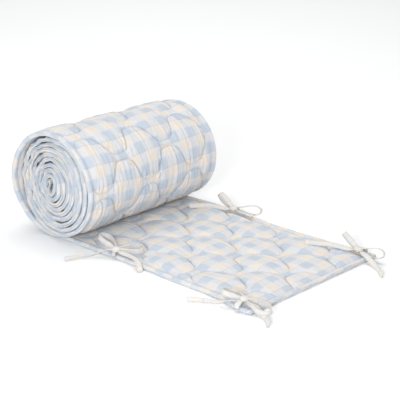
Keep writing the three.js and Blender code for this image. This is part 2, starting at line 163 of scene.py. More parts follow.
EDGE_WANDER = {"height": 0.0011, "flat": 0.3, "more": 1.3, "sets_in": (0.9, 1.4)}
CHECK_DRIFT = 0.0040
# Shade painted into the cloth's colour along the quilting seams and the edge band's grooves, where the
# grooves fall into shade: how far it reaches, how dark it is on the flat part, on the roll, in the edge
# grooves and in the cloth's colour, and how much more of it lies on a seam's steep stretches, across which
# the light falls
SEAM_SHADE_REACH = 0.0014
SEAM_SHADE = {"roll": 1.0, "flat": 0.4, "edge": 0.25, "cloth": 0.42}
SEAM_STEEP = {"step": 0.004, "least": 0.25, "more": 0.75, "fade": (0.3, 1.3)}

# Smooth uneven fields over the cloth: seed, number of waves, shortest and longest wave
FIELDS = {
    "wander": (11, 7, 0.05, 0.16),
    "slack": (12, 7, 0.12, 0.36),
    "opening": (13, 8, 0.05, 0.15),
    "ruffle": (18, 9, 0.010, 0.027),
    "ruffle_ends": (19, 9, 0.013, 0.034),
    "stray": (20, 8, 0.018, 0.050),
    "crease": (21, 14, 0.0065, 0.014),
    "drift_along": (16, 8, 0.09, 0.26),
    "drift_across": (17, 8, 0.09, 0.26),
    "fluff": (14, 12, 0.016, 0.045),
}
PHASE_SEED = 15

# The cloth underneath and outside is another length than the one on top, so its check lies elsewhere
OUTSIDE_CLOTH = {"stretch": 1.0806, "along": -0.0553, "across": 0.0182}

# The bands of the near edge and of the free end are turned in at another row of the check
BAND_SHIFT = {"near": 0.0155, "end": 0.0201}

# Where each cloth's check starts along and across, its weave's pitch and its creases' height
CLOTHS = {
    "gingham_quilt_cloth": {"starts": (0.194, 0.607), "weave": 0.0007, "creases": 0.0018},
    "gingham_tie_cloth": {"starts": (0.1, 0.0), "weave": 0.0006, "creases": 0.0012},
}

# The check: where a band's edge fades, the thin line printed along each cream row, the tint of the
# shade painted into the seams, the slubs and blotches of the yarn, and the creases to the metre along and
# across
BAND_EDGE = (0.17, 0.33)
LINE_SHIFT = 0.27
LINE_EDGE = (0.47, 0.495)
LINE_TINT = (0.90, 0.87, 0.86, 1)
PAINTED_SEAM_SHADE_TINT = (0.54, 0.62, 0.75, 1)
SLUB = {"scale": 420, "fading": 0.22}
BLOTCH = {"scale": 26, "detail": 3, "least": 0.95, "more": 0.10}
CREASE_NOISE = {"scales": (34, 175, 0), "distortion": 0.6}
WEAVE_BUMP = {"height": 0.00012, "strength": 0.35}
COTTON = {"Roughness": 0.92, "Specular IOR Level": 0.18, "Sheen Weight": 0.22, "Sheen Roughness": 0.55}

# The thread: its flecks, the ridges of its twist and its sheen
FLECK = {"scale": 900, "from": 0.3, "to": 0.7, "dark": 0.86}
TWIST = {"scale": 700, "height": 0.0001, "strength": 0.3}
THREAD = {"Roughness": 0.75, "Sheen Weight": 0.15}

# The floor's paper
PAPER = {"scale": 3, "dark": 0.985}

# The stitches: sizes by the names of their sockets
STITCH_SIZES = {"Pitch": 0.0034, "Length": 0.0023, "Thread": 0.00045}

# The rows of stitches: their lift over the cloth, how far in from the edge band a line ends, the points
# along it, the step of the edges' lines and where these lie, and how fine the straps' hems are
STITCH_LIFT = -0.00005
STITCH_INSET = GROOVE_INSET + 0.0015
STITCH_POINTS = 220
STITCH_EDGE_STEP = 0.0012
STITCH_EDGES = {"top": (GROOVE_INSET, 0.44), "outside_from": 0.53, "outside_to_turn": 0.93}
NORMAL_STEP = 0.001
HEM_FINENESS = 0.62

# The ties: the knot's place, each loop's heading and rise in degrees, its length, its opening and that
# opening's tilt in degrees, and each tail's route with the lean of the strap's width in degrees
TIES = [
    {
        "name": "tie_near_roll",
        "side": -1,
        "knot": (0.142, -0.143, 0.0176),
        "loops": [(163, 8, 0.054, 0.021, 12), (42, 1, 0.047, 0.018, 8)],
        "tails": [
            [
                (0.142, -0.143, 0.0170, 20), (0.128, -0.151, 0.0150, 20), (0.116, -0.160, 0.0090, 30),
                (0.108, -0.170, 0.0054, 45), (0.100, -0.184, 0.0052, 60), (0.094, -0.198, 0.0052, 70),
                (0.088, -0.213, 0.0054, 75),
            ],
            [
                (0.142, -0.143, 0.0170, 10), (0.158, -0.143, 0.0148, 10), (0.172, -0.142, 0.0134, 5),
                (0.187, -0.144, 0.0134, 5), (0.202, -0.150, 0.0122, 0), (0.212, -0.1565, 0.0080, 0),
                (0.217, -0.159, 0.0024, 0),
            ],
        ],
    },
    {
        "name": "tie_near_end",
        "side": -1,
        "knot": (0.441, -0.149, 0.0176),
        "loops": [(178, 2, 0.042, 0.027, 14), (-3, -5, 0.057, 0.021, 10)],
        "tails": [
            [
                (0.441, -0.149, 0.0155, 15), (0.428, -0.158, 0.0142, 20), (0.414, -0.166, 0.0105, 30),
                (0.398, -0.170, 0.0060, 60), (0.384, -0.175, 0.0053, 75), (0.371, -0.182, 0.0053, 80),
                (0.357, -0.193, 0.0056, 85),
            ],
            [
                (0.441, -0.149, 0.0155, 10), (0.455, -0.152, 0.0140, 10), (0.468, -0.153, 0.0125, 15),
                (0.479, -0.1545, 0.0080, 35), (0.493, -0.158, 0.0048, 50), (0.505, -0.167, 0.0048, 52),
                (0.516, -0.177, 0.0048, 52),
            ],
        ],
    },
    {
        "name": "tie_far_roll",
        "side": 1,
        "knot": (0.156, 0.143, 0.0176),
        "loops": [(160, 9, 0.055, 0.015, 72), (24, 1, 0.053, 0.015, 75)],
        "tails": [
            [
                (0.156, 0.143, 0.0160, 0), (0.142, 0.138, 0.0148, -10), (0.126, 0.134, 0.0148, -24),
                (0.110, 0.127, 0.0158, -34), (0.097, 0.114, 0.0160, -38), (0.086, 0.098, 0.0160, -38),
            ],
            [
                (0.156, 0.143, 0.0160, 0), (0.170, 0.145, 0.0142, 5), (0.186, 0.146, 0.0132, 8),
                (0.201, 0.145, 0.0134, 10),
            ],
        ],
    },
    {
        "name": "tie_far_end",
        "side": 1,
        "knot": (0.445, 0.141, 0.0176),
        "loops": [(154, 8, 0.053, 0.018, 55), (15, -2, 0.048, 0.015, 75)],
        "tails": [
            [
                (0.445, 0.141, 0.0155, 0), (0.460, 0.137, 0.0143, 10), (0.473, 0.133, 0.0115, 30),
                (0.485, 0.129, 0.0066, 50), (0.498, 0.122, 0.0052, 60), (0.513, 0.112, 0.0051, 60),
                (0.527, 0.101, 0.0051, 60),
            ],
            [
                (0.445, 0.141, 0.0155, 0), (0.430, 0.137, 0.0146, -10), (0.412, 0.134, 0.0148, -24),
                (0.393, 0.128, 0.0158, -34), (0.374, 0.118, 0.0160, -38), (0.356, 0.106, 0.0160, -38),
            ],
        ],
    },
]
LOOP_FULLNESS = 0.77
LOOP_BASE = 0.0011

# The stub from the strip's edge up to the knot: height, distance out and share of the way to the knot
STUB_ROUTE = [
    (0.0026, 0, 0), (0.0070, 0.0004, 0), (0.0120, -0.0008, 0), (0.0154, 0, 0.4), (0.0176, 0, 1),
]
STUB_GAP = 0.00035


# Settings that a user would change


def length_setting(name, default, description):
    return bpy.props.FloatProperty(name=name, description=description, default=default, unit="LENGTH")


def power_setting(name, default, description):
    return bpy.props.FloatProperty(name=name, description=description, default=default, unit="POWER")


def colour_setting(name, default, description):
    return bpy.props.FloatVectorProperty(
        name=name, description=description, default=default, subtype="COLOR", size=4
    )


class StripSettings(bpy.types.PropertyGroup):
    """Sizes and colours of the quilted strip."""

    half_width: length_setting("Half width", 0.150, "Half of the strip's width")
    flat_length: length_setting("Flat length", 0.467, "How much of the strip lies flat")
    wave_length: length_setting("Wave length", 0.105, "Length of the quilting wave across the strip")
    wave_height: length_setting("Wave height", 0.023, "Height of the quilting wave")
    pucker_flat: length_setting("Puckers, flat part", 0.00060, "Height of the puckers beside a seam")
    pucker_roll: length_setting("Puckers, roll", 0.0024, "Height of the puckers on the roll")
    check_period: length_setting("Check period", 0.0402, "Width of one cream and one blue band")
    cream: colour_setting("Cream", (0.75, 0.68, 0.605, 1), "Colour of the cream bands")
    blue: colour_setting("Blue", (0.515, 0.57, 0.64, 1), "Colour of the blue bands")
    mixed: colour_setting("Mixed", (0.66, 0.66, 0.675, 1), "Colour where the two cross")


class StitchSettings(bpy.types.PropertyGroup):
    """Sizes and colour of the stitching."""

    pitch: length_setting("Stitch pitch", STITCH_SIZES["Pitch"], "Distance from stitch to stitch")
    length: length_setting("Stitch length", STITCH_SIZES["Length"], "Length of a stitch that shows")
    thread: length_setting("Thread", STITCH_SIZES["Thread"], "Thickness of the thread")
    colour: colour_setting("Thread colour", (0.67, 0.71, 0.77, 1), "Colour of the thread")


class TieSettings(bpy.types.PropertyGroup):
    """Sizes of the straps that the bows are tied from, and how pale their check is."""

    width: length_setting("Strap width", 0.010, "Width of the folded strap")
    thickness: length_setting("Strap thickness", 0.0014, "Thickness of the folded strap")
    step: length_setting("Step", 0.0020, "Distance between the strap's cross-sections")
    pale: colour_setting("Pale", (0.735, 0.70, 0.655, 1), "What the check fades towards")
    fade: bpy.props.FloatProperty(
        name="Fade", description="How far the straps' check fades", default=0.55, min=0.0, max=1.0
    )


class StageSettings(bpy.types.PropertyGroup):
    """The floor and the light."""

    floor: colour_setting("Floor", (0.97, 0.97, 0.97, 1), "Colour of the floor")
    key_power: power_setting("Key light", 19.0, "Power of the large light overhead")
    fill_power: power_setting("Fill light", 5.0, "Power of the light on the camera's right")
    left_power: power_setting("Left light", 26.5, "Power of the light on the camera's left")
    back_power: power_setting("Backdrop light", 3.5, "Power of the light over the floor behind")
    sky: bpy.props.FloatProperty(
        name="Sky", description="Strength of the even light from all round", default=0.645, min=0.0
    )


# Helpers


def smooth(value, low, high):
    share = np.clip((value - low) / (high - low), 0, 1)
    return share * share * (3 - 2 * share)


def ease_up(keys, values, at):
    """A smooth line through a table's values that keeps each row's slope."""
    slopes = np.empty(len(keys))
    slopes[1:-1] = (values[2:] - values[:-2]) / (keys[2:] - keys[:-2])
    slopes[0] = (values[1] - values[0]) / (keys[1] - keys[0])
    slopes[-1] = (values[-1] - values[-2]) / (keys[-1] - keys[-2])
    row = np.clip(np.searchsorted(keys, at) - 1, 0, len(keys) - 2)
    span = keys[row + 1] - keys[row]
    t = (at - keys[row]) / span
    keep = (1 + 2 * t) * (1 - t) ** 2 * values[row] + t * t * (3 - 2 * t) * values[row + 1]
    return keep + span * t * (1 - t) * ((1 - t) * slopes[row] - t * slopes[row + 1])


def uneven(seed, count, shortest, longest):
    """A smooth uneven field over two lengths, about -1 to 1: a sum of plane waves."""
    draw = np.random.default_rng(seed)
    lengths = draw.uniform(shortest, longest, count)
    headings = draw.uniform(0, math.pi, count)
    phases = draw.uniform(0, 2 * math.pi, count)

    def field(u, v):
        total = sum(
            np.sin(2 * math.pi * (u * math.cos(a) + v * math.sin(a)) / long + phase)
            for long, a, phase in zip(lengths, headings, phases)
        )
        return np.clip(total / math.sqrt(2 * count), -1, 1)

    return field


def unit(vectors):
    return vectors / np.linalg.norm(vectors, axis=-1, keepdims=True)


def link_object(name, data):
    made = bpy.data.objects.new(name, data)
    bpy.context.scene.collection.objects.link(made)
    return made


def new_object(name, points, faces, material, place=None):
    """A smooth mesh object, with the cloth's own coordinates on its points when they are given."""
    mesh = bpy.data.meshes.new(name)
    mesh.from_pydata(np.asarray(points).tolist(), [], [list(f) for f in faces])
    mesh.polygons.foreach_set("use_smooth", np.ones(len(mesh.polygons), bool))
    if place is not None:
        attribute = mesh.attributes.new("cloth_place", "FLOAT_VECTOR", "POINT")
        attribute.data.foreach_set("vector", np.asarray(place, np.float32).ravel())
    mesh.materials.append(material)
    mesh.validate()
    mesh.update()
    return link_object(name, mesh)


# The strip's path and quilting


class StripShape:
    """Where a point of the strip lies, by the distance from the free end, the share across and the
    distance from the middle of the cloth towards the face that is underneath and outside."""

    def __init__(self, settings):
        self.half_width = settings.half_width
        self.flat_length = settings.flat_length
        self.wave_length = settings.wave_length
        self.wave_height = settings.wave_height
        self.pucker_flat = settings.pucker_flat
        self.pucker_roll = settings.pucker_roll
        self.mean_start = (START_RADIUS_NEAR + START_RADIUS_FAR) / 2
        self.wind_in = (self.mean_start - CORE_RADIUS) / (2 * ROLL_TURNS)
        turns = [(self.along_at_turn(turn), near, far) for turn, near, far in TURN_ENDS]
        self.edge_along, near, far = np.array(FLAT_EDGES + turns).T
        self.edges = {"near": near, "far": far}
        self.whole_length = self.along_at_turn(ROLL_TURNS)
        for name, waves in FIELDS.items():
            setattr(self, name, uneven(*waves))
        draw = np.random.default_rng(PHASE_SEED)
        self.phases = draw.uniform(0, 2 * math.pi, (LAST_LINE + 3, 3))

    def along_at_turn(self, turn):
        return self.flat_length + 2 * math.pi * (self.mean_start * turn - self.wind_in * turn * turn)

    def turn_at_along(self, along):
        rolled = (along - self.flat_length) / (2 * math.pi)
        inside = np.maximum(self.mean_start**2 - 4 * self.wind_in * rolled, 0)
        wound = (self.mean_start - np.sqrt(inside)) / (2 * self.wind_in)
        return np.where(rolled <= 0, rolled / self.mean_start, wound)

    def edge_y(self, along, side):
        return ease_up(self.edge_along, self.edges[side], along)

    def start_radius(self, across):
        share = (across + 1) / 2
        return START_RADIUS_NEAR * (1 - share) + START_RADIUS_FAR * share

    def ruffled(self, turn, across):
        """How strongly a turn's edge is ruffled: most at the side where the end is crumpled."""
        inset = self.half_width * (1 - np.abs(across))
        side = smooth(np.cos(2 * math.pi * (turn - RUFFLE_SIDE["turn"])), *RUFFLE_SIDE["fade"])
        side = RUFFLE_SIDE["least"] + RUFFLE_SIDE["more"] * side
        inner = RUFFLE_INNER["least"] + RUFFLE_INNER["more"] * smooth(turn, *RUFFLE_INNER["sets_in"])
        return np.exp(-((inset / RUFFLE_REACH) ** 2)) * side * inner * smooth(turn, *RUFFLE_STARTS)

    def radius(self, turn, across):
        """The path's distance from the roll's axis."""
        start = self.start_radius(across)
        lobe = smooth(np.cos(2 * math.pi * (turn - INNER_SAG["turn"])), INNER_SAG["lobe"], 1)
        fading = smooth(turn, INNER_SAG["sets_in"][1], INNER_SAG["fades"])
        inside = smooth(turn, *INNER_SAG["sets_in"]) - fading
        sag = INNER_SAG["height"] * lobe * inside * np.exp(-(across + 1) / INNER_SAG["width"])
        along = self.along_at_turn(turn)
        slack = SLACK * self.slack(along, across * self.half_width) * smooth(turn, *SLACK_SETS_IN)
        ruffle = RUFFLE * self.ruffle(along, across * self.half_width) * self.ruffled(turn, across)
        free = start + (CORE_RADIUS - start) * turn / ROLL_TURNS - sag + slack + ruffle
        flat = (start - ROLL_SETTLE) / np.maximum(np.cos(2 * math.pi * turn), SPOT_LEAST_COSINE)
        return np.where(np.abs(turn) < SPOT_TURN, np.minimum(free, flat), free)

    def half_room(self, turn, across):
        """The height of a face that fills half of the room between a turn and the next one inwards."""
        room = self.radius(turn, across) - self.radius(turn + 1, across)
        opening = smooth(self.opening(self.along_at_turn(turn), across * GAP_FIELD_WIDTH), *GAP_FADE)
        tight = smooth(np.cos(2 * math.pi * (turn - GAP_TIGHT["turn"])), *GAP_TIGHT["fade"])
        core = CORE_SHARE * smooth(turn, *CORE_OPENS)
        gap = GAP_LEAST + GAP_OPEN * np.maximum(opening * (1 - tight), core) * smooth(turn, *GAP_SETS_IN)
        return (np.minimum(room, ROOM_MOST) - gap) / 2

    def point(self, along, across, outward):
        turn = self.turn_at_along(along)
        askew = INNER_LEAN["height"] * smooth(turn, *INNER_LEAN["sets_in"])
        lean = askew * np.cos(2 * math.pi * (turn - INNER_LEAN["turn"]))
        rolled = EDGE_WANDER["flat"] + EDGE_WANDER["more"] * smooth(turn, *EDGE_WANDER["sets_in"])
        wander = EDGE_WANDER["height"] * self.wander(along, across) * rolled
        ragged = RAGGED_EDGE * self.ruffle_ends(along, across) * self.ruffled(turn, across)
        share = (across + 1) / 2
        y = self.edge_y(along, "near") * (1 - share) + self.edge_y(along, "far") * share
        y = y + lean + wander + ragged
        start = self.start_radius(across)
        radius = self.radius(turn, across)
        angle = 2 * math.pi * turn
        centre_z = start + PATH_HEIGHT - ROLL_SETTLE
        path_z = np.maximum(centre_z - radius * np.cos(angle), PATH_HEIGHT)
        spot = path_z <= PATH_HEIGHT
        out_x = np.where(spot, 0, -np.sin(angle))
        out_z = np.where(spot, -1, -np.cos(angle))
        flat = turn <= 0
        x = np.where(flat, self.flat_length - along, -radius * np.sin(angle) * ROLL_OVAL + out_x * outward)
        z = np.where(flat, PATH_HEIGHT - outward, path_z + out_z * outward)
        return np.stack([x, y, z], axis=-1)

    def wave(self, distance):
        angle = 2 * math.pi * distance / self.wave_length
        return np.tanh(WAVE_SQUARENESS * np.cos(angle)) / math.tanh(WAVE_SQUARENESS)

    def line_along(self, line, across):
        if line < 0:
            return np.full_like(across, GROOVE_INSET)
        if line > LAST_LINE:
            return np.full_like(across, self.along_at_turn(1))
        sign = -1 if line % 2 == 0 else 1
        along = np.interp(line, SPACED_LINES, LINE_PLACES)
        crest = np.interp(line, SPACED_LINES, LINE_CRESTS)
        bent = along + sign * self.wave_height * self.wave(across * self.half_width - crest)
        return np.maximum(bent, FIRST_LINE_LEAST)

    def pucker(self, line, across, distance, reach):
        """Fine rounded ridges with sharp folds between them, which run from a seam into its cells and
        are highest where the seam is gathered."""
        y = across * self.half_width
        y = y + PUCKER_STRAY * self.stray(distance, y)
        first, second, third = self.phases[line + 1]
        ridge = 2 * np.abs(np.sin(math.pi * y / PUCKER_PITCH + first)) - 1
        ridge = ridge + PUCKER_LONG_SHARE * np.sin(2 * math.pi * y / PUCKER_LONG_PITCH + second)
        swell = np.sin(2 * math.pi * y / PUCKER_STRETCH + third)
        gathered = PUCKER_GATHERED[0] + PUCKER_GATHERED[1] * swell
        near = (1 - np.exp(-distance / PUCKER_START)) * np.exp(-distance / reach)
        return ridge * gathered * near

    def painted_seam_shade_strength(self, line, along, across):
        """The shade painted into the cloth's colour at a place: most on a seam, above all on its steep
        stretches and on the roll, a little in the edge band's groove, and none a few millimetres away,
        measured square to the seam.
        """
        nearness = np.zeros_like(across)
        step = SEAM_STEEP["step"]
        for beside in (line, line + 1):
            rise = self.line_along(beside, across + step) - self.line_along(beside, across - step)
            rise = np.abs(rise) / (2 * step * self.half_width)
            distance = np.abs(along - self.line_along(beside, across)) / np.sqrt(1 + rise**2)
            steep = SEAM_STEEP["least"] + SEAM_STEEP["more"] * smooth(rise, *SEAM_STEEP["fade"])
            nearness = np.maximum(nearness, steep * np.exp(-((distance / SEAM_SHADE_REACH) ** 2)))
        inset = self.half_width * (1 - np.abs(across))
        groove = SEAM_SHADE["edge"] * np.exp(-(((inset - GROOVE_INSET) / SEAM_SHADE_REACH) ** 2))
        shade = SEAM_SHADE["flat"] if line <= LINE_AT_ROLL else SEAM_SHADE["roll"]
        return np.maximum(shade * nearness * (inset > GROOVE_INSET), groove)

    def edge_parts(self, across):
        """(how far in from the nearest long edge, share of the quilting there, share of the edge band)."""
        inset = self.half_width * (1 - np.abs(across))
        quilt = smooth(inset, GROOVE_INSET, SHOULDER_SETTLES)
        crown = np.clip(1 - ((inset - BAND_CREST) / (GROOVE_INSET - BAND_CREST)) ** 2, 0, 1)
        band = np.where(inset < GROOVE_INSET, crown**BAND_ROUNDNESS, 0)
        band = np.where(inset < BAND_CREST, 1, band)
        return inset, quilt, band

    def quilted(self, face, line, share, along, across, pucker, reach):
        """The height of a quilted face between a line and the next."""
        start = self.line_along(line, across)
        gap = self.line_along(line + 1, across) - start
        dome = (1 - np.abs(2 * share - 1) ** DOME_POWERS[0]) ** DOME_POWERS[1]
        dome = dome * (1 - np.exp(-gap / PUFF_REACH))
        inset, quilt, band = self.edge_parts(across)
        ridges = self.pucker(line, across, along - start, reach)
        ridges = ridges + self.pucker(line + 1, across, start + gap - along, reach)
        ridges = ridges * smooth(gap, *PUCKER_NECK)
        y = across * self.half_width
        fluff = (FLUFF * self.fluff(along, y) + CREASE * self.crease(along * CREASE_STRETCH, y)) * dome
        groove, seam = face["groove"], face["seam"]
        height = seam + (face["puff"] * dome + pucker * ridges + fluff) * quilt
        height = np.maximum(height, groove * (1 - quilt) + seam * quilt)
        height = np.where(inset <= GROOVE_INSET, groove + (face["band"] - groove) * band, height)
        ripple = 2 * math.pi * along / BAND_RIPPLE_PITCH + BAND_RIPPLE_STRAY * self.wander(along, across)
        return height + BAND_RIPPLE * band * np.sin(ripple)

    def top(self, line, share, along, across):
        flat = self.quilted(FLAT_TOP, line, share, along, across, self.pucker_flat, PUCKER_REACH_FLAT)
        return flat + (self.rolled(along, across, 0) - flat) * smooth(along, *TOP_SETTLES)

    def outside(self, line, share, along, across):
        turn = self.turn_at_along(along)
        quilted = self.quilted(
            ROLL_OUTSIDE, line, share, along, across, self.pucker_roll, PUCKER_REACH_ROLL
        )
        risen = PATH_HEIGHT + (quilted - PATH_HEIGHT) * smooth(along, *OUTSIDE_RISES)
        return risen + (self.rolled(along, across, 1) - risen) * smooth(turn, *OUTSIDE_SETTLES_TURN)

    def rolled(self, along, across, side):
        """The height of a face inside the roll, with its edge band."""
        _, quilt, band = self.edge_parts(across)
        groove = ROLLED_GROOVE * (1 - quilt) * (1 - band)
        return self.half_room(self.turn_at_along(along) - side, across) - groove


# The strip's mesh: points round a lip, shares of the way from one quilting line to the next, distances
# of its columns and rows from an edge, counts of columns between them, and the rows inside the roll
LIP_STEPS = 7
SHARES = (
    0, 0.012, 0.036, 0.075, 0.13, 0.20, 0.285, 0.385, 0.5, 0.615, 0.715, 0.80, 0.87, 0.925, 0.964, 0.988,
)
EDGE_INSETS = (0.0030, 0.0045, 0.0060, 0.0073, 0.0082, 0.0090, 0.0098, 0.0110, 0.0128, 0.0150)
ROLLED_INSETS = (0.0030, 0.0048, 0.0070, 0.0100, 0.0150, 0.0240)
TOP_COLUMNS = 126
OUTSIDE_COLUMNS = 204
COARSE_COLUMNS = 8
ROLLED_COLUMNS = 4
END_ROWS = (0.00015, 0.0008, 0.0018, 0.003, 0.0045, 0.006, 0.0073, 0.0082)
ROLLED_STEP = 0.0036
FINER_TO_CORE = 1.15
HAIR = 1e-9


def columns(half_width, middle_count, insets=EDGE_INSETS):
    """Shares across the strip: close together near its edges and even between them."""
    edge = 1 - np.array(insets) / half_width
    middle = np.linspace(-edge[-1], edge[-1], middle_count)
    return np.concatenate([-edge[:-1], middle, edge[-2::-1]])


class Ring:
    """One row across the strip: its top face, its far lip, its outside face and its near lip."""

    def __init__(self, top_across, outside_across):
        self.across = {"top": top_across, "outside": outside_across}
        self.along = {}
        self.height = {}
        self.seam = {"top": np.zeros_like(top_across), "outside": np.zeros_like(outside_across)}
        self.ids = {}

    def strand(self, lip, end):
        """The numbers of the points round a lip, from the top face to the outside face."""
        return [self.ids["top"][end], *self.ids[lip], self.ids["outside"][end]]


def quilted_ring(shape, line, share, top_across, outside_across):
    ring = Ring(top_across, outside_across)
    for face, across in ring.across.items():
        start = shape.line_along(line, across)
        along = start + (shape.line_along(line + 1, across) - start) * share
        ring.along[face] = along
        ring.height[face] = getattr(shape, face)(line, share, along, across)
        # The shade painted into the cloth's colour along the seams
        ring.seam[face] = shape.painted_seam_shade_strength(line, along, across)
    if line < LINE_AT_ROLL:
        ring.height["outside"] = np.full_like(outside_across, PATH_HEIGHT)
    if line > LINE_AT_ROLL:
        ring.height["top"] = shape.rolled(ring.along["top"], top_across, 0)
    return ring


def end_ring(shape, along, top_across, outside_across):
    """A row of the free end's own band."""
    ring = Ring(top_across, outside_across)
    rounded = math.sqrt(1 - (1 - min(along / EDGE_INSET, 1)) ** 2)
    groove = min(max((along - END_BAND_CREST) / (GROOVE_INSET - END_BAND_CREST), 0), 1) ** 2
    ripple = BAND_RIPPLE * np.sin(2 * math.pi * top_across * shape.half_width / BAND_RIPPLE_PITCH)
    band = FLAT_TOP["band"] + ripple
    band = band + (FLAT_TOP["groove"] - band) * groove
    _, quilt, long_band = shape.edge_parts(top_across)
    edge = FLAT_TOP["groove"] + (band - FLAT_TOP["groove"]) * np.maximum(quilt, long_band)
    ring.along = {"top": np.full_like(top_across, along), "outside": np.full_like(outside_across, along)}
    ring.height["top"] = np.where(groove > 0, np.minimum(band, edge), band) * rounded
    ring.height["outside"] = np.full_like(outside_across, PATH_HEIGHT) * rounded
    return ring


def rolled_ring(shape, along, across):
    ring = Ring(across, across)
    for side, face in enumerate(("top", "outside")):
        ring.along[face] = np.full_like(across, along)
        ring.height[face] = shape.rolled(ring.along[face], across, side)
    return ring


def strip_rings(shape):
    fine_top = columns(shape.half_width, TOP_COLUMNS)
    fine_outside = columns(shape.half_width, OUTSIDE_COLUMNS)
    coarse = columns(shape.half_width, COARSE_COLUMNS)
    rings = [end_ring(shape, along, fine_top, coarse) for along in END_ROWS]
    for line in range(-1, LAST_LINE + 1):
        top = fine_top if line <= LINE_AT_ROLL else coarse
        outside = fine_outside if line >= LINE_AT_ROLL else coarse
        rings += [quilted_ring(shape, line, share, top, outside) for share in SHARES]
    rolled = columns(shape.half_width, ROLLED_COLUMNS, ROLLED_INSETS)
    first = shape.along_at_turn(1)
    count = math.ceil((shape.whole_length - first) / ROLLED_STEP)
    wound = first + (shape.whole_length - first) * (1 - np.linspace(1, 0, count) ** FINER_TO_CORE)
    rings += [rolled_ring(shape, along, rolled) for along in wound]
    return rings


def lay_ring(shape, ring, points, places):
    """Adds a ring's points, and notes their numbers by face and lip."""
    laid = {}
    for face, sign in (("top", -1), ("outside", 1)):
        across = ring.across[face]
        laid[face] = (ring.along[face], across, sign * ring.height[face], ring.seam[face])
    bend = np.linspace(math.pi / 2, -math.pi / 2, LIP_STEPS + 2)[1:-1]
    for lip, end in (("far", -1), ("near", 0)):
        side = 1 if lip == "far" else -1
        tops, outsides = ring.height["top"][end], ring.height["outside"][end]
        inset = EDGE_INSET * (1 - np.cos(bend)) / shape.half_width
        heights = np.where(bend > 0, -tops * np.sin(bend), -outsides * np.sin(bend))
        along = np.full(LIP_STEPS, ring.along["top"][end])
        laid[lip] = (along, side * (1 - inset), heights, np.zeros(LIP_STEPS))
    for name, (along, across, outward, seam) in laid.items():
        first = sum(len(block) for block in points)
        ring.ids[name] = np.arange(first, first + len(along))
        points.append(shape.point(along, across, outward))
        under = np.asarray(outward) > 0
        on_cloth = OUTSIDE_CLOTH["stretch"] * along + OUTSIDE_CLOTH["along"]
        in_end_band = along < GROOVE_INSET
        in_near_band = ~under & (across < GROOVE_INSET / shape.half_width - 1)
        place_along = np.where(under, on_cloth, along) + BAND_SHIFT["end"] * in_end_band
        place_across = across * shape.half_width + np.where(under, OUTSIDE_CLOTH["across"], 0)
        place_across = place_across + BAND_SHIFT["near"] * in_near_band
        # The third coordinate of the cloth's place carries the shade painted along the seams
        places.append(np.stack([place_along, place_across, seam], axis=-1))


def between(a, b, across_a=None, across_b=None):
    """Faces between two lines of points, which may differ in number."""
    if len(a) == len(b):
        return list(zip(a[:-1], a[1:], b[1:], b[:-1]))
    faces = []
    i = j = 0
    while i < len(a) - 1 or j < len(b) - 1:
        if j == len(b) - 1 or (i < len(a) - 1 and across_a[i + 1] <= across_b[j + 1]):
            faces.append((a[i], a[i + 1], b[j]))
            i += 1
        else:
            faces.append((a[i], b[j + 1], b[j]))
            j += 1
    return faces


def strip_mesh(shape):
    rings = strip_rings(shape)
    points, places = [], []
    for ring in rings:
        lay_ring(shape, ring, points, places)
    faces = []
    for a, b in zip(rings[:-1], rings[1:]):
        faces += between(a.ids["top"], b.ids["top"], a.across["top"], b.across["top"])
        under = between(a.ids["outside"], b.ids["outside"], a.across["outside"], b.across["outside"])
        faces += [face[::-1] for face in under]
        for lip, end in (("far", -1), ("near", 0)):
            lip_faces = between(a.strand(lip, end), b.strand(lip, end))
            faces += lip_faces if lip == "far" else [face[::-1] for face in lip_faces]
    for ring, turned in ((rings[0], True), (rings[-1], False)):
        top, outside = ring.ids["top"], ring.ids["outside"]
        cap = between(top, outside, ring.across["top"], ring.across["outside"] + HAIR)
        cap.append((top[-1], *ring.ids["far"], outside[-1]))
        cap.append((outside[0], *ring.ids["near"][::-1], top[0]))
        faces += [face if turned else face[::-1] for face in cap]
    places = np.concatenate(places)
    along, across = places[:, 0].copy(), places[:, 1].copy()
    for axis, drift in enumerate((shape.drift_along, shape.drift_across)):
        places[:, axis] += CHECK_DRIFT * drift(along, across)
    return np.concatenate(points), faces, places


def recalculate_outside(made):
    bm = bmesh.new()
    bm.from_mesh(made.data)
    bmesh.ops.recalc_face_normals(bm, faces=bm.faces)
    bm.to_mesh(made.data)
    bm.free()


# Nodes and materials


def set_inputs(tree, node, inputs):
    """Links or sets a node's inputs, by name or number. A node stands for its first output."""
    for key, value in inputs.items():
        if isinstance(value, bpy.types.Node):
            value = value.outputs[0]
        if isinstance(value, bpy.types.NodeSocket):
            tree.links.new(value, node.inputs[key])
        elif value is not None:
            node.inputs[key].default_value = value


def add_node(tree, kind, inputs=None, **traits):
    node = tree.nodes.new(kind)
    for trait, value in traits.items():
        setattr(node, trait, value)
    set_inputs(tree, node, inputs or {})
    return node


def math_node(tree, operation, first, second=None):
    return add_node(tree, "ShaderNodeMath", {0: first, 1: second}, operation=operation)


def map_range(tree, value, low, high):
    inputs = {"Value": value, "From Min": low, "From Max": high}
    return add_node(tree, "ShaderNodeMapRange", inputs, interpolation_type="SMOOTHSTEP")


def noise(tree, place, scale, detail=2, distortion=0):
    inputs = {"Vector": place, "Scale": scale, "Detail": detail, "Distortion": distortion}
    return add_node(tree, "ShaderNodeTexNoise", inputs)


def bump(tree, height, distance, strength, normal=None):
    inputs = {"Height": height, "Distance": distance, "Strength": strength, "Normal": normal}
    return add_node(tree, "ShaderNodeBump", inputs)


def tinted(tree, share, colour, tint):
    """A colour multiplied by a tint, as far as the share goes."""
    mix = add_node(
        tree, "ShaderNodeMix", {0: share, 6: colour, 7: tint}, data_type="RGBA", blend_type="MULTIPLY"
    )
    return mix.outputs[2]


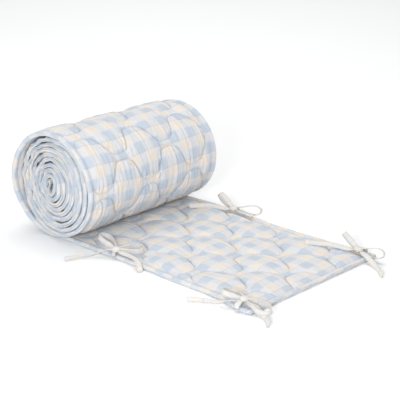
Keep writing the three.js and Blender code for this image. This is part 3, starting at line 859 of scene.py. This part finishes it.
def ramp(tree, share, stops):
    """A colour ramp through stops of a position and a colour."""
    made = add_node(tree, "ShaderNodeValToRGB", {"Fac": share})
    elements = made.color_ramp.elements
    for element, (position, colour) in zip((elements[0], elements[1]), (stops[0], stops[-1])):
        element.position, element.color = position, colour
    for position, colour in stops[1:-1]:
        elements.new(position).color = colour
    return made


def new_material(name):
    material = bpy.data.materials.new(name)
    material.use_nodes = True
    return material, material.node_tree


def finish_material(material, inputs):
    tree = material.node_tree
    set_inputs(tree, tree.nodes["Principled BSDF"], inputs)
    return material


def darker(colour, share):
    return tuple(share * part for part in colour[:3]) + (1,)


def in_check(tree, coordinate, period, start):
    return math_node(tree, "ADD", math_node(tree, "DIVIDE", coordinate, period), start)


def beside(tree, turns):
    """How far a place lies from the middle of its round of the check, in shares of the round."""
    return math_node(tree, "ABSOLUTE", math_node(tree, "SUBTRACT", math_node(tree, "FRACT", turns), 0.5))


def gingham_material(name, settings, pale=(0, 0, 0, 0), fade=0.0):
    """Woven cotton check on the cloth's own coordinates, with its weave, its slubs, its soft sheen and the
    shade painted into its seams.
    """
    cloth = CLOTHS[name]
    material, tree = new_material(name)
    place = add_node(tree, "ShaderNodeAttribute", attribute_name="cloth_place").outputs["Vector"]
    # The place's third coordinate is how much shade is painted in at the seams
    along, across, seam = add_node(tree, "ShaderNodeSeparateXYZ", {0: place}).outputs
    period = settings.check_period
    turns = [in_check(tree, way, period, start) for way, start in zip((along, across), cloth["starts"])]
    bands = [map_range(tree, beside(tree, turn), *BAND_EDGE) for turn in turns]
    yarns = math_node(tree, "MULTIPLY", math_node(tree, "ADD", *bands), 0.5)

    slub = noise(tree, place, SLUB["scale"])
    faded = math_node(tree, "MULTIPLY", math_node(tree, "SUBTRACT", slub, 0.5), SLUB["fading"])
    colours = np.array([settings.blue, settings.mixed, settings.cream]) * (1 - fade) + np.array(pale) * fade
    checked = ramp(tree, math_node(tree, "ADD", yarns, faded), list(zip((0, 0.5, 1), colours)))
    blotch = noise(tree, place, BLOTCH["scale"], BLOTCH["detail"])
    value = math_node(tree, "ADD", math_node(tree, "MULTIPLY", blotch, BLOTCH["more"]), BLOTCH["least"])
    shade = add_node(tree, "ShaderNodeHueSaturation", {"Color": checked, "Value": value})
    line = map_range(tree, beside(tree, math_node(tree, "ADD", turns[0], LINE_SHIFT)), *LINE_EDGE)
    lined = tinted(tree, line, shade, LINE_TINT)
    # Shade painted into the colour along the seams and the edge band's grooves
    with_painted_seam_shade = tinted(tree, math_node(tree, "MULTIPLY", seam, SEAM_SHADE["cloth"]), lined, PAINTED_SEAM_SHADE_TINT)

    per_metre = 2 * math.pi / cloth["weave"]
    warp, weft = (
        math_node(tree, "SINE", math_node(tree, "MULTIPLY", way, per_metre)) for way in (along, across)
    )
    weave = math_node(tree, "ADD", math_node(tree, "MULTIPLY", warp, weft), slub)
    stretched = add_node(
        tree, "ShaderNodeVectorMath", {0: place, 1: CREASE_NOISE["scales"]}, operation="MULTIPLY"
    )
    crease = noise(tree, stretched, 1, distortion=CREASE_NOISE["distortion"])
    creased = bump(tree, crease, cloth["creases"], 1)
    woven = bump(tree, weave, WEAVE_BUMP["height"], WEAVE_BUMP["strength"], creased)
    return finish_material(material, {"Base Color": with_painted_seam_shade, "Normal": woven, **COTTON})


def thread_material(settings):
    """Spun thread: its twist as slanting ridges, and a slight fleck."""
    material, tree = new_material("quilting_thread")
    place = add_node(tree, "ShaderNodeTexCoord").outputs["Object"]
    stops = ((FLECK["from"], darker(settings.colour, FLECK["dark"])), (FLECK["to"], settings.colour))
    flecked = ramp(tree, noise(tree, place, FLECK["scale"]), stops)
    waves = {"Vector": place, "Scale": TWIST["scale"]}
    twist = add_node(tree, "ShaderNodeTexWave", waves, bands_direction="DIAGONAL").outputs["Fac"]
    spun = bump(tree, twist, TWIST["height"], TWIST["strength"])
    return finish_material(material, {"Base Color": flecked, "Normal": spun, **THREAD})


def floor_material(colour):
    """Matte paper with a very faint unevenness."""
    material, tree = new_material("pale_paper")
    place = add_node(tree, "ShaderNodeTexCoord").outputs["Object"]
    stops = ((0, darker(colour, PAPER["dark"])), (1, colour))
    paper = ramp(tree, noise(tree, place, PAPER["scale"]), stops)
    return finish_material(material, {"Base Color": paper, "Roughness": 1.0, "Specular IOR Level": 0.0})


# Stitching, by Geometry Nodes


def stitch_tree():
    """Stitches along the edges of a path mesh, standing on the normals that its points carry."""
    tree = bpy.data.node_groups.new("row_of_stitches", "GeometryNodeTree")
    sockets = {}
    tree.interface.new_socket("Geometry", in_out="INPUT", socket_type="NodeSocketGeometry")
    for name, default in STITCH_SIZES.items():
        socket = tree.interface.new_socket(name, in_out="INPUT", socket_type="NodeSocketFloat")
        socket.default_value = default
        socket.subtype = "DISTANCE"
        sockets[name] = socket.identifier
    socket = tree.interface.new_socket("Material", in_out="INPUT", socket_type="NodeSocketMaterial")
    sockets["Material"] = socket.identifier
    tree.interface.new_socket("Geometry", in_out="OUTPUT", socket_type="NodeSocketGeometry")

    entry = add_node(tree, "NodeGroupInput").outputs
    curve = add_node(tree, "GeometryNodeMeshToCurve", {"Mesh": entry["Geometry"]})
    pitched = {"Curve": curve, "Length": entry["Pitch"]}
    spots = add_node(tree, "GeometryNodeResampleCurve", pitched, mode="LENGTH")
    up = add_node(tree, "GeometryNodeInputNamedAttribute", {"Name": "stands_on"}, data_type="FLOAT_VECTOR")
    tangent = add_node(tree, "GeometryNodeInputTangent")
    along = add_node(tree, "FunctionNodeAlignRotationToVector", {"Vector": tangent}, axis="X")
    upward = {"Rotation": along, "Vector": up}
    raised = add_node(tree, "FunctionNodeAlignRotationToVector", upward, axis="Z", pivot_axis="X")
    ball = add_node(tree, "GeometryNodeMeshIcoSphere", {"Radius": 0.5, "Subdivisions": 1})
    thick = entry["Thread"]
    size = add_node(tree, "ShaderNodeCombineXYZ", {"X": entry["Length"], "Y": thick, "Z": thick})
    laid = {"Points": spots, "Instance": ball, "Rotation": raised, "Scale": size}
    stitches = add_node(tree, "GeometryNodeInstanceOnPoints", laid)
    real = add_node(tree, "GeometryNodeRealizeInstances", {"Geometry": stitches})
    painted = {"Geometry": real, "Material": entry["Material"]}
    paint = add_node(tree, "GeometryNodeSetMaterial", painted)
    add_node(tree, "NodeGroupOutput", {"Geometry": paint})
    return tree, sockets


def sew(name, lines, settings, material, fineness=1.0):
    """A plain mesh of stitches along lines of (points, normals)."""
    edges = []
    first = 0
    for line, _ in lines:
        edges += [(i, i + 1) for i in range(first, first + len(line) - 1)]
        first += len(line)
    path = bpy.data.meshes.new(name + "_path")
    path.from_pydata(np.concatenate([line for line, _ in lines]).tolist(), edges, [])
    attribute = path.attributes.new("stands_on", "FLOAT_VECTOR", "POINT")
    normals = np.concatenate([normal for _, normal in lines])
    attribute.data.foreach_set("vector", normals.astype(np.float32).ravel())
    guide = link_object(name + "_path", path)
    tree, sockets = stitch_tree()
    modifier = guide.modifiers.new("Stitches", "NODES")
    modifier.node_group = tree
    for size in STITCH_SIZES:
        modifier[sockets[size]] = getattr(settings, size.lower()) * fineness
    modifier[sockets["Material"]] = material
    evaluated = guide.evaluated_get(bpy.context.evaluated_depsgraph_get())
    mesh = bpy.data.meshes.new_from_object(evaluated)
    guide.modifiers.clear()
    bpy.data.objects.remove(guide)
    if not mesh.polygons:
        raise RuntimeError(f"{name}: the stitch lines gave no stitches")
    mesh.name = name
    mesh.polygons.foreach_set("use_smooth", np.ones(len(mesh.polygons), bool))
    return link_object(name, mesh)


def line_on_face(shape, face, along, across, height):
    """Points and normals along a line at a height on a face."""
    sign = -1 if face == "top" else 1
    points = shape.point(along, across, sign * height)
    return points, unit(points - shape.point(along, across, sign * (height - NORMAL_STEP)))


def quilting_line(shape, face, line, across):
    along = shape.line_along(line, across)
    height = getattr(shape, face)(line, 0.0, along, across) + STITCH_LIFT
    return line_on_face(shape, face, along, across, height)


def edge_line(shape, face, side, start, end):
    """A line along the groove of the band on a long edge."""
    along = np.arange(start, end, STITCH_EDGE_STEP)
    across = np.full_like(along, side * (1 - GROOVE_INSET / shape.half_width))
    groove = FLAT_TOP["groove"] if face == "top" else ROLL_OUTSIDE["groove"]
    return line_on_face(shape, face, along, across, np.full_like(along, groove + STITCH_LIFT))


# Straps and bows

STRAP_PROFILE = [
    (-1.00, 0.00), (-0.96, 0.62), (-0.88, 0.92), (-0.78, 0.58), (-0.68, 0.92), (-0.34, 1.00), (0.00, 0.96),
    (0.34, 1.00), (0.68, 0.92), (0.78, 0.58), (0.88, 0.92), (0.96, 0.62), (1.00, 0.00),
]
HEM_POINTS = (3, 9)
HEM_GROOVE = {"at": 0.78, "width": 0.08}
HEM_LIFT = 0.00012

# How a strap is twisted, crumpled and gathered, and how much cloth lies hidden between two of its parts
STRAP_TWIST = math.radians(7)
TWIST_WAVES = (5, 0.02, 0.06)
TWIST_SEED = 50
CRUMPLE_WAVES = (6, 0.012, 0.035)
STRAP_CRUMPLE = {"height": 0.00045, "across": 1.5}
STRAP_FOLDS = {"height": 0.0016, "turn": 3 * math.pi}
STRAP_HIDDEN = 0.013
KNOT_CLOTH = 0.045
TIE_OFFSET = 0.017

# How much a strap is narrowed at the knot, and over what distance it widens again
GATHER = {"stub": 0.35, "tail": 0.4, "loop": 0.42}
TAIL_WIDENS = (0.004, 0.018)
LOOP_WIDENS = (0.004, 0.020)
TAIL_LEAST_COUNT = 8
LOOP_LEAST_COUNT = 24
LOOP_ROUND = 2.1

# The knot's two wraps: their turn from the second loop, their half sizes along it, aside and up, their
# folds and how far along the strap their cloth lies
WRAPS = [(0.0, 0.0080, 0.0066, 0.0044, 2, 0.0), (0.25, 0.0048, 0.0076, 0.0052, 3, 0.011)]
WRAP_AROUND = 28
WRAP_ROWS = 15
WRAP_ROUNDNESS = (2.6, 0.5)
WRAP_FOLD = {"height": 0.055, "lean": 1.3}


def smooth_route(points, count):
    """Places along a smooth line through the points, with the other columns eased along with them."""
    points = np.asarray(points, float)
    legs = np.linalg.norm(np.diff(points[:, :3], axis=0), axis=1)
    at = np.concatenate([[0], np.cumsum(legs)])
    where = np.linspace(0, at[-1], count)
    return np.stack([ease_up(at, points[:, i], where) for i in range(points.shape[1])], axis=1), at[-1]


class StrapMesh:
    """Collects the parts of one tie: points, faces and the cloth's coordinates."""

    def __init__(self, settings, seed):
        self.width = settings.width
        self.thickness = settings.thickness
        self.step = settings.step
        self.points, self.faces, self.places, self.hems = [], [], [], []
        self.count = 0
        self.length = KNOT_CLOTH
        self.offset = TIE_OFFSET * seed
        self.crumple = uneven(seed, *CRUMPLE_WAVES)
        self.twist = uneven(seed + TWIST_SEED, *TWIST_WAVES)

    def add(self, rings, places):
        """A lofted tube through rings that all have the same number of points, closed at its ends."""
        rings = np.asarray(rings)
        rows, around = rings.shape[:2]
        ids = self.count + np.arange(rows * around).reshape(rows, around)
        ahead = np.roll(ids, -1, axis=1)
        for a, a_next, b, b_next in zip(ids[:-1], ahead[:-1], ids[1:], ahead[1:]):
            self.faces += list(zip(a, a_next, b_next, b))
        self.faces += [tuple(ids[0][::-1]), tuple(ids[-1])]
        self.points.append(rings.reshape(-1, 3))
        self.places.append(np.asarray(places).reshape(-1, 3))
        self.count += rows * around

    def strap(self, centres, widths, narrowing):
        """A folded strap along its centres, with a stitched hem at each side."""
        runs = unit(np.gradient(centres, axis=0))
        thick = unit(np.cross(runs, widths))
        side = unit(np.cross(thick, runs))
        travelled = np.concatenate([[0], np.cumsum(np.linalg.norm(np.diff(centres, axis=0), axis=1))])
        turn = (STRAP_TWIST * self.twist(travelled + self.offset, 0 * travelled))[:, None]
        side, thick = side * np.cos(turn) + thick * np.sin(turn), thick * np.cos(turn) - side * np.sin(turn)
        profile = np.array(STRAP_PROFILE)
        around = np.concatenate([profile, profile[-2:0:-1] * (1, -1)])
        out, up = around.T
        run = travelled[:, None] + self.offset
        across = out * (self.width / 2) * narrowing[:, None]
        crumple = self.crumple(run, across * STRAP_CRUMPLE["across"]) * STRAP_CRUMPLE["height"]
        folds = (1 - narrowing[:, None]) * STRAP_FOLDS["height"] * np.cos(out * STRAP_FOLDS["turn"])
        high = up * self.thickness / 2 + crumple + folds
        rings = centres[:, None] + side[:, None] * across[..., None] + thick[:, None] * high[..., None]
        hem = np.exp(-(((np.abs(out) - HEM_GROOVE["at"]) / HEM_GROOVE["width"]) ** 2))
        self.add(rings, np.stack(np.broadcast_arrays(run, across, hem), axis=-1))
        self.hems += [(rings[:, point] + thick * HEM_LIFT, thick) for point in HEM_POINTS]
        self.length += travelled[-1]
        self.offset += travelled[-1] + STRAP_HIDDEN

    def wrap(self, centre, heading, long, wide, high, folds, shift):
        """A pulled-tight wrap of the knot: a lofted lump with folds that run round it."""
        along = np.array([math.cos(heading), math.sin(heading), 0])
        aside = np.array([-math.sin(heading), math.cos(heading), 0])
        around = np.linspace(0, 2 * math.pi, WRAP_AROUND + 1)[:-1]
        rings, places = [], []
        for share in np.sin(np.linspace(-math.pi / 2, math.pi / 2, WRAP_ROWS + 2)[1:-1]):
            body = (1 - abs(share) ** WRAP_ROUNDNESS[0]) ** WRAP_ROUNDNESS[1]
            fold = np.cos(folds * math.pi * share + WRAP_FOLD["lean"] * np.sin(around))
            radius = body * (1 + WRAP_FOLD["height"] * fold)
            sideways = aside * (np.cos(around) * radius * wide)[:, None]
            upwards = np.array([0, 0, 1]) * (np.sin(around) * radius * high)[:, None]
            rings.append(centre + along * share * long + sideways + upwards)
            places.append(np.stack(np.broadcast_arrays(around * wide + shift, share * long, 0), axis=1))
        self.add(rings, places)


def lean_width(runs, leans):
    """The direction of a strap's width where it runs along a direction, leaning from level."""
    level = unit(np.cross(runs, (0, 0, 1)))
    turns = [Matrix.Rotation(math.radians(lean), 3, Vector(run)) for run, lean in zip(runs, leans)]
    return np.array([turn @ Vector(flat) for turn, flat in zip(turns, level)])


def add_tail(strap, route, gather):
    count = max(TAIL_LEAST_COUNT, int(smooth_route(route, TAIL_LEAST_COUNT)[1] / strap.step))
    rows, length = smooth_route(route, count)
    centres = rows[:, :3]
    runs = unit(np.gradient(centres, axis=0))
    narrowing = 1 - gather * (1 - smooth(np.linspace(0, length, count), *TAIL_WIDENS))
    strap.strap(centres, lean_width(runs, rows[:, 3]), narrowing)


def add_loop(strap, knot, heading, rise, long, spread, tilt):
    heading, rise = math.radians(heading), math.radians(rise)
    level = np.array([math.cos(heading), math.sin(heading), 0])
    out = level * math.cos(rise) + np.array([0, 0, math.sin(rise)])
    apart = lean_width([out], [tilt])[0]
    count = max(LOOP_LEAST_COUNT, int(LOOP_ROUND * long / strap.step))
    turn = np.linspace(0, 2 * math.pi, count)
    along = long * (1 - np.cos(turn)) / 2
    opening = np.sin(turn) * (1 - np.cos(turn)) * LOOP_FULLNESS * spread / 2
    centres = knot + out * along[:, None] + apart * (opening + LOOP_BASE * np.cos(turn / 2))[:, None]
    narrowing = 1 - GATHER["loop"] * (1 - smooth(along, *LOOP_WIDENS))
    strap.strap(centres, np.repeat([np.cross(out, apart)], count, axis=0), narrowing)


def make_tie(shape, settings, tie, material, seed):
    strap = StrapMesh(settings, seed)
    knot = np.array(tie["knot"])
    side = tie["side"]
    beside = shape.flat_length - knot[0] + np.array([-settings.width / 2, settings.width / 2])
    reach = side * shape.edge_y(beside, "near" if side < 0 else "far")
    edge = side * (max(reach) + STUB_GAP + settings.thickness / 2)
    stub = []
    for z, out, share in STUB_ROUTE[::-1]:
        base = edge + side * out
        stub.append((knot[0], base + (knot[1] - base) * share, z, 0))
    add_tail(strap, stub, GATHER["stub"])
    for tail in tie["tails"]:
        add_tail(strap, tail, GATHER["tail"])
    for loop in tie["loops"]:
        add_loop(strap, knot, *loop)
    for turn, *wrap in WRAPS:
        strap.wrap(knot, math.radians(tie["loops"][1][0]) + turn, *wrap)
    points, places = np.concatenate(strap.points), np.concatenate(strap.places)
    made = new_object(tie["name"] + "_strap", points, strap.faces, material, places)
    recalculate_outside(made)
    return made, strap


# Operators


class BUMPER_OT_strip(bpy.types.Operator):
    """Make the quilted strip, flat at its free end and rolled up behind it"""

    bl_idname = "bumper.strip"
    bl_label = "Quilted strip"

    def execute(self, context):
        settings = context.scene.bumper_strip
        points, faces, places = strip_mesh(StripShape(settings))
        cloth = gingham_material("gingham_quilt_cloth", settings)
        made = new_object("quilted_strip_cloth", points, faces, cloth, places)
        recalculate_outside(made)
        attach(made, "root")
        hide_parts("quilted_strip")
        return {"FINISHED"}


class BUMPER_OT_stitching(bpy.types.Operator):
    """Sew the quilting lines and the band along the strip's edges"""

    bl_idname = "bumper.stitching"
    bl_label = "Stitching"

    def execute(self, context):
        settings = context.scene.bumper_stitches
        shape = StripShape(context.scene.bumper_strip)
        strip = bpy.data.objects.get("quilted_strip_cloth")
        if strip is None:
            raise RuntimeError("make the strip before its stitching")
        inside = 1 - STITCH_INSET / shape.half_width
        across = np.linspace(-inside, inside, STITCH_POINTS)
        lines = []
        for line in range(LAST_LINE + 1):
            lines.append(quilting_line(shape, "top" if line <= LINE_AT_ROLL else "outside", line, across))
        outside = (STITCH_EDGES["outside_from"], shape.along_at_turn(STITCH_EDGES["outside_to_turn"]))
        for side in (-1, 1):
            lines.append(edge_line(shape, "top", side, *STITCH_EDGES["top"]))
            lines.append(edge_line(shape, "outside", side, *outside))
        lines.append(quilting_line(shape, "top", -1, across))
        made = sew("quilt_stitching", lines, settings, thread_material(settings))
        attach(made, "root")
        return {"FINISHED"}


class BUMPER_OT_ties(bpy.types.Operator):
    """Tie the four bows"""

    bl_idname = "bumper.ties"
    bl_label = "Tied bows"

    def execute(self, context):
        settings = context.scene.bumper_ties
        stitches = context.scene.bumper_stitches
        strip = context.scene.bumper_strip
        shape = StripShape(strip)
        cloth = gingham_material("gingham_tie_cloth", strip, settings.pale, settings.fade)
        thread = bpy.data.materials.get("quilting_thread") or thread_material(stitches)
        for seed, tie in enumerate(TIES, start=1):
            made, strap = make_tie(shape, settings, tie, cloth, seed)
            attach(made, "root")
            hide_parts(tie["name"])
            hems = sew(tie["name"] + "_hems", strap.hems, stitches, thread, HEM_FINENESS)
            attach(hems, "root")
        return {"FINISHED"}


# The stage: the floor, the lights, the sky and the camera, which was fitted to the strip's edges
# and to the roll's outline

FLOOR_REACH = 14.0
LIT_CENTRE = (0.19, 0.0, 0.05)
LIT_BEHIND = (-1.4, 1.6, 0.0)

# Each light: its setting, its place, what it points at, its size and its colour
LIGHTS = {
    "overhead": ("key_power", (-0.4, 0.45, 2.2), LIT_CENTRE, 1.6, (1.0, 0.99, 0.97)),
    "right_of_camera": ("fill_power", (2.4, -0.6, 1.1), LIT_CENTRE, 0.6, (1.0, 0.995, 0.98)),
    "left_of_camera": ("left_power", (1.3, -1.9, 0.9), LIT_CENTRE, 0.5, (0.94, 0.975, 1.0)),
    "backdrop": ("back_power", (-1.4, 1.5, 1.5), LIT_BEHIND, 1.5, (1.0, 1.0, 1.0)),
}
SKY_COLOUR = (0.98, 0.99, 1.0, 1)
CAMERA_AZIMUTH = math.radians(44.07)
CAMERA_ELEVATION = math.radians(20.12)
CAMERA_DISTANCE = 2.662
CAMERA_TARGET = (0.15, 0.0, 0.08)
CAMERA_ASIDE = 0.01502
CAMERA_DOWN = 0.003315
CAMERA_LENS_MM = 135.84
CAMERA_SIGHT = 60


def look_at(thing, place, target):
    direction = Vector(target) - Vector(place)
    thing.location = place
    thing.rotation_euler = direction.to_track_quat("-Z", "Y").to_euler()


def add_softbox(name, power, place, target, size, colour):
    light = bpy.data.lights.new(name, "AREA")
    light.shape = "RECTANGLE"
    light.size, light.size_y = size, size
    light.energy = power
    light.color = colour
    look_at(link_object(name, light), place, target)


class BUMPER_OT_stage(bpy.types.Operator):
    """Set the pale floor, the soft light and the camera"""

    bl_idname = "bumper.stage"
    bl_label = "Stage"

    def execute(self, context):
        settings = context.scene.bumper_stage
        signs = ((-1, -1), (1, -1), (1, 1), (-1, 1))
        corners = [(x * FLOOR_REACH, y * FLOOR_REACH, 0) for x, y in signs]
        floor = new_object("floor", corners, [(0, 1, 2, 3)], floor_material(settings.floor[:]))

        for name, (power, *light) in LIGHTS.items():
            add_softbox(name, getattr(settings, power), *light)
        world = bpy.data.worlds.new("even_sky")
        context.scene.world = world
        world.use_nodes = True
        sky = {"Color": SKY_COLOUR, "Strength": settings.sky}
        set_inputs(world.node_tree, world.node_tree.nodes["Background"], sky)
        context.scene.view_settings.view_transform = "Standard"

        cos_e, sin_e = math.cos(CAMERA_ELEVATION), math.sin(CAMERA_ELEVATION)
        cos_a, sin_a = math.cos(CAMERA_AZIMUTH), math.sin(CAMERA_AZIMUTH)
        back = Vector((sin_a * cos_e, -cos_a * cos_e, sin_e))
        right = Vector((cos_a, sin_a, 0))
        up = right.cross(-back)
        camera = link_object("camera", bpy.data.cameras.new("camera"))
        camera.data.lens = CAMERA_LENS_MM
        camera.data.clip_end = CAMERA_SIGHT
        eye = Vector(CAMERA_TARGET) + back * CAMERA_DISTANCE
        look_at(camera, eye, eye - back + right * CAMERA_ASIDE - up * CAMERA_DOWN)
        context.scene.camera = camera
        return {"FINISHED"}


class BUMPER_PT_panel(bpy.types.Panel):
    """The bumper's settings and steps"""

    bl_idname = "BUMPER_PT_panel"
    bl_label = "Crib bumper"
    bl_space_type = "VIEW_3D"
    bl_region_type = "UI"
    bl_category = "Bumper"

    def draw(self, context):
        steps = (
            ("bumper_stage", "bumper.stage"),
            ("bumper_strip", "bumper.strip"),
            ("bumper_stitches", "bumper.stitching"),
            ("bumper_ties", "bumper.ties"),
        )
        for group, operator in steps:
            box = self.layout.box()
            settings = getattr(context.scene, group)
            for name in settings.__annotations__:
                box.prop(settings, name)
            box.operator(operator)


GROUPS = {
    "bumper_strip": StripSettings,
    "bumper_stitches": StitchSettings,
    "bumper_ties": TieSettings,
    "bumper_stage": StageSettings,
}
OPERATORS = (BUMPER_OT_stage, BUMPER_OT_strip, BUMPER_OT_stitching, BUMPER_OT_ties)


def register():
    for name, group in GROUPS.items():
        bpy.utils.register_class(group)
        setattr(bpy.types.Scene, name, bpy.props.PointerProperty(type=group))
    for operator in OPERATORS:
        bpy.utils.register_class(operator)
    bpy.utils.register_class(BUMPER_PT_panel)


def unregister():
    bpy.utils.unregister_class(BUMPER_PT_panel)
    for operator in reversed(OPERATORS):
        bpy.utils.unregister_class(operator)
    for name, group in reversed(GROUPS.items()):
        delattr(bpy.types.Scene, name)
        bpy.utils.unregister_class(group)


def main():
    register()
    bpy.ops.bumper.stage()
    bpy.ops.bumper.strip()
    bpy.ops.bumper.stitching()
    bpy.ops.bumper.ties()


if __name__ == "__main__":
    main()
